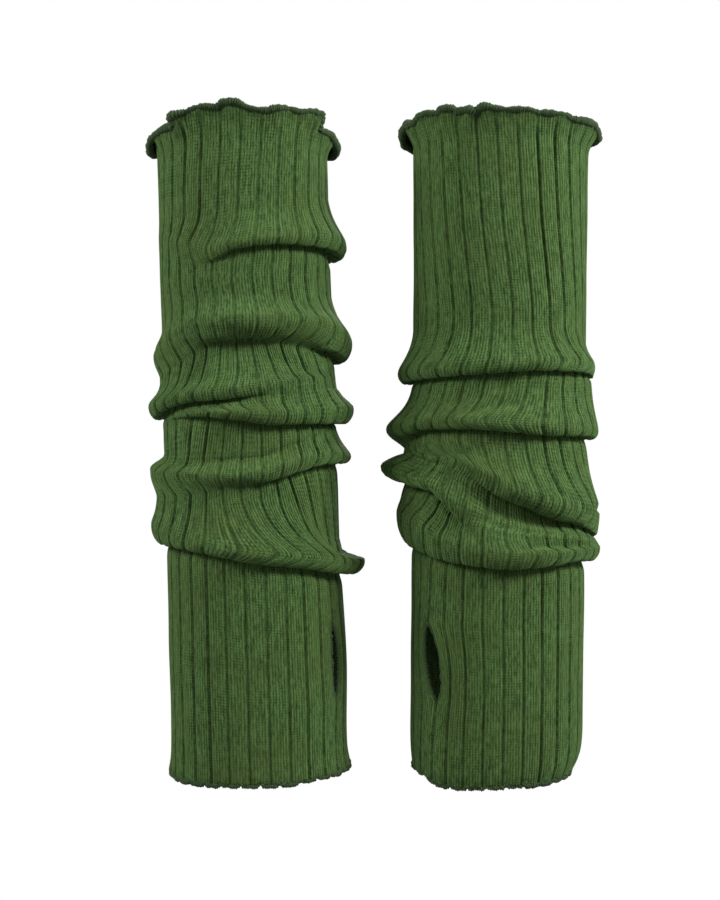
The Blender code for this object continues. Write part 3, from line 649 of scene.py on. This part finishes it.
def controlColumn(w, angle, walls):
    # all control points (out, drop, turn) down the tube at one angle
    rimOut, rimDrop, rimTurn = w["rimOut"](angle), w["rimDrop"](angle) + knit["rimInside"], w["rimTurn"](angle)
    neck = knit["neck"] + 0.5 * max(0.0, rimDrop)
    hang, top = hanging(w, angle), min(rimDrop, w["rimTop"](angle) + knit["rimInside"])
    # shares (out, down to the neck, turn) where the edge stands, and (out, drop) where it curls over
    flared = ((1.0, 0.0, 1.0), (0.92, 0.20, 0.8), (0.62, 0.44, 0.4), (0.26, 0.70, 0.1), (0.05, 1.0, 0.0))
    curled = ((1.0, rimDrop), (1.08, between(rimDrop, top, 0.55)), (0.84, top), (0.42, top + 1.6),
              (0.12, top + 6.5))
    points = []
    for (out, down, turned), (outOver, level) in zip(flared, curled):
        points.append((rimOut * between(out, outOver, hang),
                       between(between(rimDrop, neck, down), level, hang), rimTurn * turned))
    ends = [fold["begins"](angle) for fold in w["folds"][1:]] + [knit["foldsEnd"]]
    carried = 0.0
    for fold, nextBegins, count in zip(w["folds"], ends, walls):
        room = nextBegins - fold["crease"](angle)
        run = foldPoints(fold, angle, room, carried)
        points += wallPoints(points[-1], run[0], count) + run
        carried = fold["slide"](angle) * max(0.0, min(0.85, 1.3 - room / 12))     # less after a long wall
    points[-1] = (points[-1][0], points[-1][1], 0.5 * points[-1][2])
    hemDrop, hemOut = w["hemDrop"](angle) - knit["hemInside"], w["hemOut"](angle)
    start = hemDrop - knit["hemTurn"]
    points += wallPoints(points[-1], (0.0, start, 0.0), walls[-1])
    points += [(out * hemOut, between(start, hemDrop, down), 0.0) for out, down in knit["hemProfile"]]
    return points


def splinePoint(points, t):
    # a uniform cubic B-spline through the run of points, from the first to the last
    i = min(int(t), len(points) - 2)
    s = t - i
    p1, p2 = points[i], points[i + 1]
    p0 = points[i - 1] if i else [2 * a - b for a, b in zip(p1, p2)]
    p3 = points[i + 2] if i + 2 < len(points) else [2 * b - a for a, b in zip(p1, p2)]
    w0, w3 = (1 - s) ** 3 / 6, s ** 3 / 6
    w1 = (3 * s ** 3 - 6 * s * s + 4) / 6
    w2 = 1 - w0 - w1 - w3
    return [w0 * a + w1 * b + w2 * c + w3 * d for a, b, c, d in zip(p0, p1, p2, p3)]


def tubeAt(w, drop):
    # the axis and the plain radius at this drop
    share = drop / knit["length"]
    return between(*w["axis"], share), between(*w["radius"], share)


def slitShare(w, drop):
    # -1 at the slit's upper end and 1 at its lower end
    return (drop - knit["slitMiddle"]) / (w["slit"]["halfLength"] + knit["slitBorder"])


def placed(w, ribs, out, drop, turn):
    # a point in mm, at so many ribs round from the slit, which parts the ribs beside it
    away, side = ribs * 360 / knit["ribs"], 1.0
    if ribs > knit["ribs"] / 2:
        away, side = away - 360, -1.0
    axis, radius = tubeAt(w, drop)
    slit, share = w["slit"], slitShare(w, drop)
    opening = max(0.0, 1.0 - share * share) ** (knit["slitPoint"] / 2)
    eased = knit["partShare"] * exp(-(share / knit["partFades"]) ** 2)
    near = exp(-abs(away) / knit["borderOver"])
    parted = (slit["halfWidth"] + knit["slitBorder"]) * between(eased, opening, near)
    parting = side * parted / radius * 180 / pi
    leaning = slit["tilt"] * max(-1.0, min(1.0, share)) * exp(-max(0.0, abs(share) - 1))
    leaning += slit["pull"] * exp(-(share / knit["pullFades"]) ** 2)
    angle = radians(slit["angle"] + away + (parting + leaning) * exp(-abs(away) / knit["partOver"]) + turn)
    angle += radians(w["drift"](drop))
    swelling = (share / knit["swellFades"]) ** 2 + ((away - knit["swellAt"]) / knit["swellOver"]) ** 2
    out += radius + slit["swell"] * exp(-swelling)
    return Vector((axis + out * sin(angle), -out * cos(angle), -drop))


def wallCounts(w):
    # how many rows each plain stretch gets, from its mean length
    angles = range(-180, 180, 15)
    last = [knit["neck"]] * len(angles)
    counts = []
    for fold in w["folds"]:
        gap = sum(fold["begins"](a) - l for a, l in zip(angles, last)) / len(angles)
        counts.append(max(0, round(gap / knit["rowSpacing"]) - 1))
        last = [fold["crease"](a) + knit["after"] for a in angles]
    gap = sum(knit["hemLevel"] - knit["hemTurn"] - l for l in last) / len(angles)
    return counts + [round(gap / knit["rowSpacing"])]


def rowPlaces(points):
    # the spline's parameter at each row: several rows a span in a fold, one a span in a plain wall
    places = [0.0]
    for i, (a, b) in enumerate(zip(points, points[1:])):
        rows = max(1, ceil(hypot(b[0] - a[0], b[1] - a[1]) / knit["foldSpacing"]))
        places += [i + (k + 1) / rows for k in range(rows)]
    return places


def calmAt(w, angle, drop):
    # how far the ribs keep their depth: less where the cloth is drawn tight across a fold
    share = 1.0
    for middle, level, wide, high, calm in w["calm"]:
        off = (angle - middle + 180) % 360 - 180
        share *= 1 - calm * exp(-(off / wide) ** 2 - ((drop - level) / high) ** 2)
    return share


def grooveAt(ribs, drop, w, angle, fromRim):
    # how deep the surface lies below the ribs' tops: a narrow groove, and a slightly round rib. The 3.7
    # and 0.5 only pick a place in the noise, so that each groove is uneven in its own way
    share = abs(ribs - round(ribs))
    groove = exp(-(share / knit["grooveWidth"]) ** 2)
    groove += knit["shoulder"] * exp(-(share / knit["shoulderWidth"]) ** 2)
    crown = knit["crown"] * (2 * (0.5 - share)) ** 3
    fade = min(1.0, max(knit["grooveLeast"], fromRim / knit["groovePlain"]))
    uneven = 1 + knit["grooveUneven"] * noise.noise((round(ribs) * 3.7, drop / knit["grooveUnevenOver"], 0.5))
    return (knit["grooveDepth"] * groove * uneven + crown) * w["ribbing"](angle) * calmAt(w, angle, drop) * fade


def strokeAt(w, angle, drop):
    # how deep the small creases press the cloth in here, and the small ridges lift it
    depth = 0.0
    for line, width, press in w["strokes"]:
        places = [a for a, _ in line]
        away = (angle - places[0] + 60) % 360 - 60 + places[0]
        if not places[0] - 8 < away < places[-1] + 8:
            continue
        i = max(0, min(bisect_right(places, away) - 1, len(places) - 2))
        level = between(line[i][1], line[i + 1][1], clamped((away - places[i]) / (places[i + 1] - places[i])))
        if abs(drop - level) > 3 * width:
            continue
        along = (away - places[0]) / (places[-1] - places[0])
        ends = max(0.0, 1 - (2 * along - 1) ** 4)
        depth += press * ends * exp(-((drop - level) / width) ** 2)
    return depth


def scallop(w, column):
    # the hem rises between its bumps, each time by its own height, which the noise gives
    place = column + w["bumpShift"]
    depth = 1 + knit["scallopUneven"] * noise.noise((floor(place) * 5.3, w["axis"][0], 2.5))
    return -knit["scallopDepth"] * depth * exp(-((place % 1.0 - 0.5) / knit["scallopWidth"]) ** 2)


def gridSheet(bm, uvLayer, columns, rows, place):
    # a grid whose points go to place(vert, column, i, j); its UVs are (column, the row's second value)
    made = bmesh.ops.create_grid(bm, x_segments=len(columns) - 1, y_segments=len(rows) - 1, size=0.5)
    for vert in made["verts"]:
        vert.tag = True
    faces = [f for f in bm.faces if f.verts[0].tag]
    spots = {}
    for vert in made["verts"]:
        spots[vert] = (round((vert.co.x + 0.5) * (len(columns) - 1)),
                       round((0.5 - vert.co.y) * (len(rows) - 1)))
    for face in faces:
        face.smooth = True
        for loop in face.loops:
            i, j = spots[loop.vert]
            loop[uvLayer].uv = (columns[i], rows[j][1])
    for vert, (i, j) in spots.items():
        vert.co = place(vert, columns[i], i, j)
        vert.tag = False
    return made["verts"], faces


def rowLengths(w, walls, places):
    # how far down the cloth each row lies, as a mean round the tube
    lengths = [0.0] * len(places)
    angles = range(-180, 180, 30)
    for angle in angles:
        points = controlColumn(w, angle, walls)
        line = [splinePoint(points, t) for t in places]
        run = 0.0
        for j in range(1, len(line)):
            run += hypot(line[j][0] - line[j - 1][0], line[j][1] - line[j - 1][1])
            lengths[j] += run / len(angles)
    return lengths


def knitSurface(bm, w, walls, allRows, inner):
    # the outer or the inner side of the cloth; a row is (spline parameter, mm down the cloth)
    shares, every, scallopRows = knit["columns"], 1, 6
    if inner:
        shares, every, scallopRows = knit["innerColumns"], knit["innerEvery"], 2
    columns = [rib + share for rib in range(knit["ribs"]) for share in shares] + [float(knit["ribs"])]
    rows = allRows[:-1:every] + allRows[-1:]
    depthLayer = bm.verts.layers.float["depth"]
    table = []
    for column in columns:
        points = controlColumn(w, columnAngle(w, column), walls)
        table.append([splinePoint(points, t) for t, _ in rows])

    def place(vert, column, i, j):
        out, drop, turn = table[i][j]
        angle = columnAngle(w, column)
        if inner:
            rim = knit["rimWall"] + (1 - knit["rimWall"]) * rows[j][1] / knit["rimWallOver"]
            depth = knit["wall"] * min(1.0, rim)
        else:
            depth = grooveAt(column, drop, w, angle, rows[j][1])
        if abs(slitShare(w, drop)) < knit["borderEnds"]:
            border = knit["borderThins"] * exp(-min(column, knit["ribs"] - column) / knit["borderWidth"])
            depth += -border if inner else border
        drop += scallop(w, column) * max(0.0, 1 - (len(rows) - 1 - j) / scallopRows)
        at = placed(w, column, out, drop, turn)
        depth -= noise.noise(at / knit["unevenOver"]) * knit["unevenBy"]
        vert[depthLayer] = depth + strokeAt(w, angle + turn, drop)
        return at * mm

    verts, faces = gridSheet(bm, bm.loops.layers.uv["knit"], columns, rows, place)
    bmesh.ops.remove_doubles(bm, verts=verts, dist=knit["merged"] * mm)
    faces = [f for f in faces if f.is_valid]
    bm.normal_update()
    moves = [(v, v.normal * v[depthLayer] * mm) for v in {v for f in faces for v in f.verts}]
    for vert, move in moves:
        vert.co -= move
    if inner:
        bmesh.ops.reverse_faces(bm, faces=faces)


def knitTube(name, w):
    walls = wallCounts(w)
    places = rowPlaces(controlColumn(w, 0.0, walls))
    rows = list(zip(places, rowLengths(w, walls, places)))
    bm = bmesh.new()
    bm.loops.layers.uv.new("knit")
    bm.verts.layers.float.new("depth")
    knitSurface(bm, w, walls, rows, inner=False)
    knitSurface(bm, w, walls, rows, inner=True)
    rims = [(e, (e.verts[0].co.z + e.verts[1].co.z) / 2 / mm) for e in bm.edges if e.is_boundary]
    for low, high in ((-25, 60), (-260, -190), (-400, -262)):     # the upper edge, the slit and the hem
        bridge = bmesh.ops.bridge_loops(bm, edges=[e for e, z in rims if low < z < high])
        for face in bridge["faces"]:
            face.smooth = True
    print(name, len(bm.faces), "faces, open edges", sum(e.is_boundary for e in bm.edges),
          "rows", len(rows), "cloth", round(rows[-1][1]), "mm")
    return objectFrom(bm, name, knitMaterial)


edges = {
    "wrapLength": 0.85, "aroundSteps": 10, "alongWrap": 4, "thread": 0.20, "measureSteps": 400, "merged": 0.001,
    "lumps": ((0.50, 1.8), (0.20, 0.8)), "swellOver": 8.0,        # (height, size) of the roll's unevenness
    "upper": {"radius": 1.15, "inset": 0.6, "shift": 0.3, "swell": 0.6},
    "lower": {"radius": 0.90, "inset": 0.85, "shift": 0.0, "swell": 0.35},
    "slit": {"radius": 0.75, "inset": 1.05, "shift": 0.0, "swell": 0.1},
}


def edgeLine(w, kind, count):
    # the closed line that an edge's roll runs along, in mm
    ribs, e = knit["ribs"], edges[kind]
    half = w["slit"]["halfLength"] + knit["slitBorder"] * 0.9       # just inside the slit's ends
    line = []
    for k in range(count):
        column = ribs * k / count
        angle = columnAngle(w, column)
        if kind == "slit":
            column, out, turn = 0 if k / count < 0.5 else ribs, 0.0, 0
            drop = knit["slitMiddle"] - half * cos(tau * (k / count))
        elif kind == "upper":
            out, drop, turn = w["rimOut"](angle), w["rimDrop"](angle), w["rimTurn"](angle)
            out += 2 * e["inset"] * hanging(w, angle)
        else:
            out, drop, turn = w["hemOut"](angle), w["hemDrop"](angle) + scallop(w, column), 0
        line.append(placed(w, column, out - e["inset"], drop + e["shift"], turn))
    return line


def edgeRoll(name, w, kind):
    # a roll of thread wrapped round the cloth's raw edge
    e, around, alongWrap = edges[kind], edges["aroundSteps"], edges["alongWrap"]
    rough = edgeLine(w, kind, edges["measureSteps"])
    length = sum((a - b).length for a, b in zip(rough, rough[1:] + rough[:1]))
    count = round(length / edges["wrapLength"]) * alongWrap
    line = edgeLine(w, kind, count)
    middle = sum(line, Vector()) / count
    bm = bmesh.new()
    uvLayer = bm.loops.layers.uv.new("thread")

    def place(vert, column, i, j):
        k = i % count
        at = line[k]
        ahead = (line[(k + 2) % count] - line[k - 2]).normalized()
        away = at - middle if kind == "slit" else Vector((at.x - middle.x, at.y - middle.y, 0))
        first = (away - ahead * away.dot(ahead)).normalized()
        second = ahead.cross(first)
        turn = tau * j / around
        lump = edges["thread"] * cos(tau * (k / alongWrap) + turn)
        lump += sum(height * noise.noise(at / size) for height, size in edges["lumps"])
        lump += e["swell"] * noise.noise(at / edges["swellOver"])
        thick = e["radius"]
        if kind == "upper":
            thick *= w["rollBy"](w["slit"]["angle"] + 360 * k / count)
        return (at + (first * cos(turn) + second * sin(turn)) * (thick + lump)) * mm

    columns = [i / alongWrap for i in range(count + 1)]
    rows = [(0, j / around) for j in range(around + 1)]
    gridSheet(bm, uvLayer, columns, rows, place)
    bmesh.ops.remove_doubles(bm, verts=bm.verts, dist=edges["merged"] * mm)
    bmesh.ops.recalc_face_normals(bm, faces=bm.faces)
    print(name, len(bm.faces), "faces, open edges", sum(x.is_boundary for x in bm.edges),
          "length", round(length), "mm")
    return objectFrom(bm, name, threadMaterial)


for side, w in warmers.items():
    w = prepared(w)
    tube = knitTube("knit_" + side, w)
    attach(tube, "root")
    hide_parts("tube_" + side)
    for kind in ("upper", "lower", "slit"):
        roll = edgeRoll("overlock_" + kind + "_" + side, w, kind)
        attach(roll, "root")
        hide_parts("edge_" + kind + "_" + side)
print("warmers made")
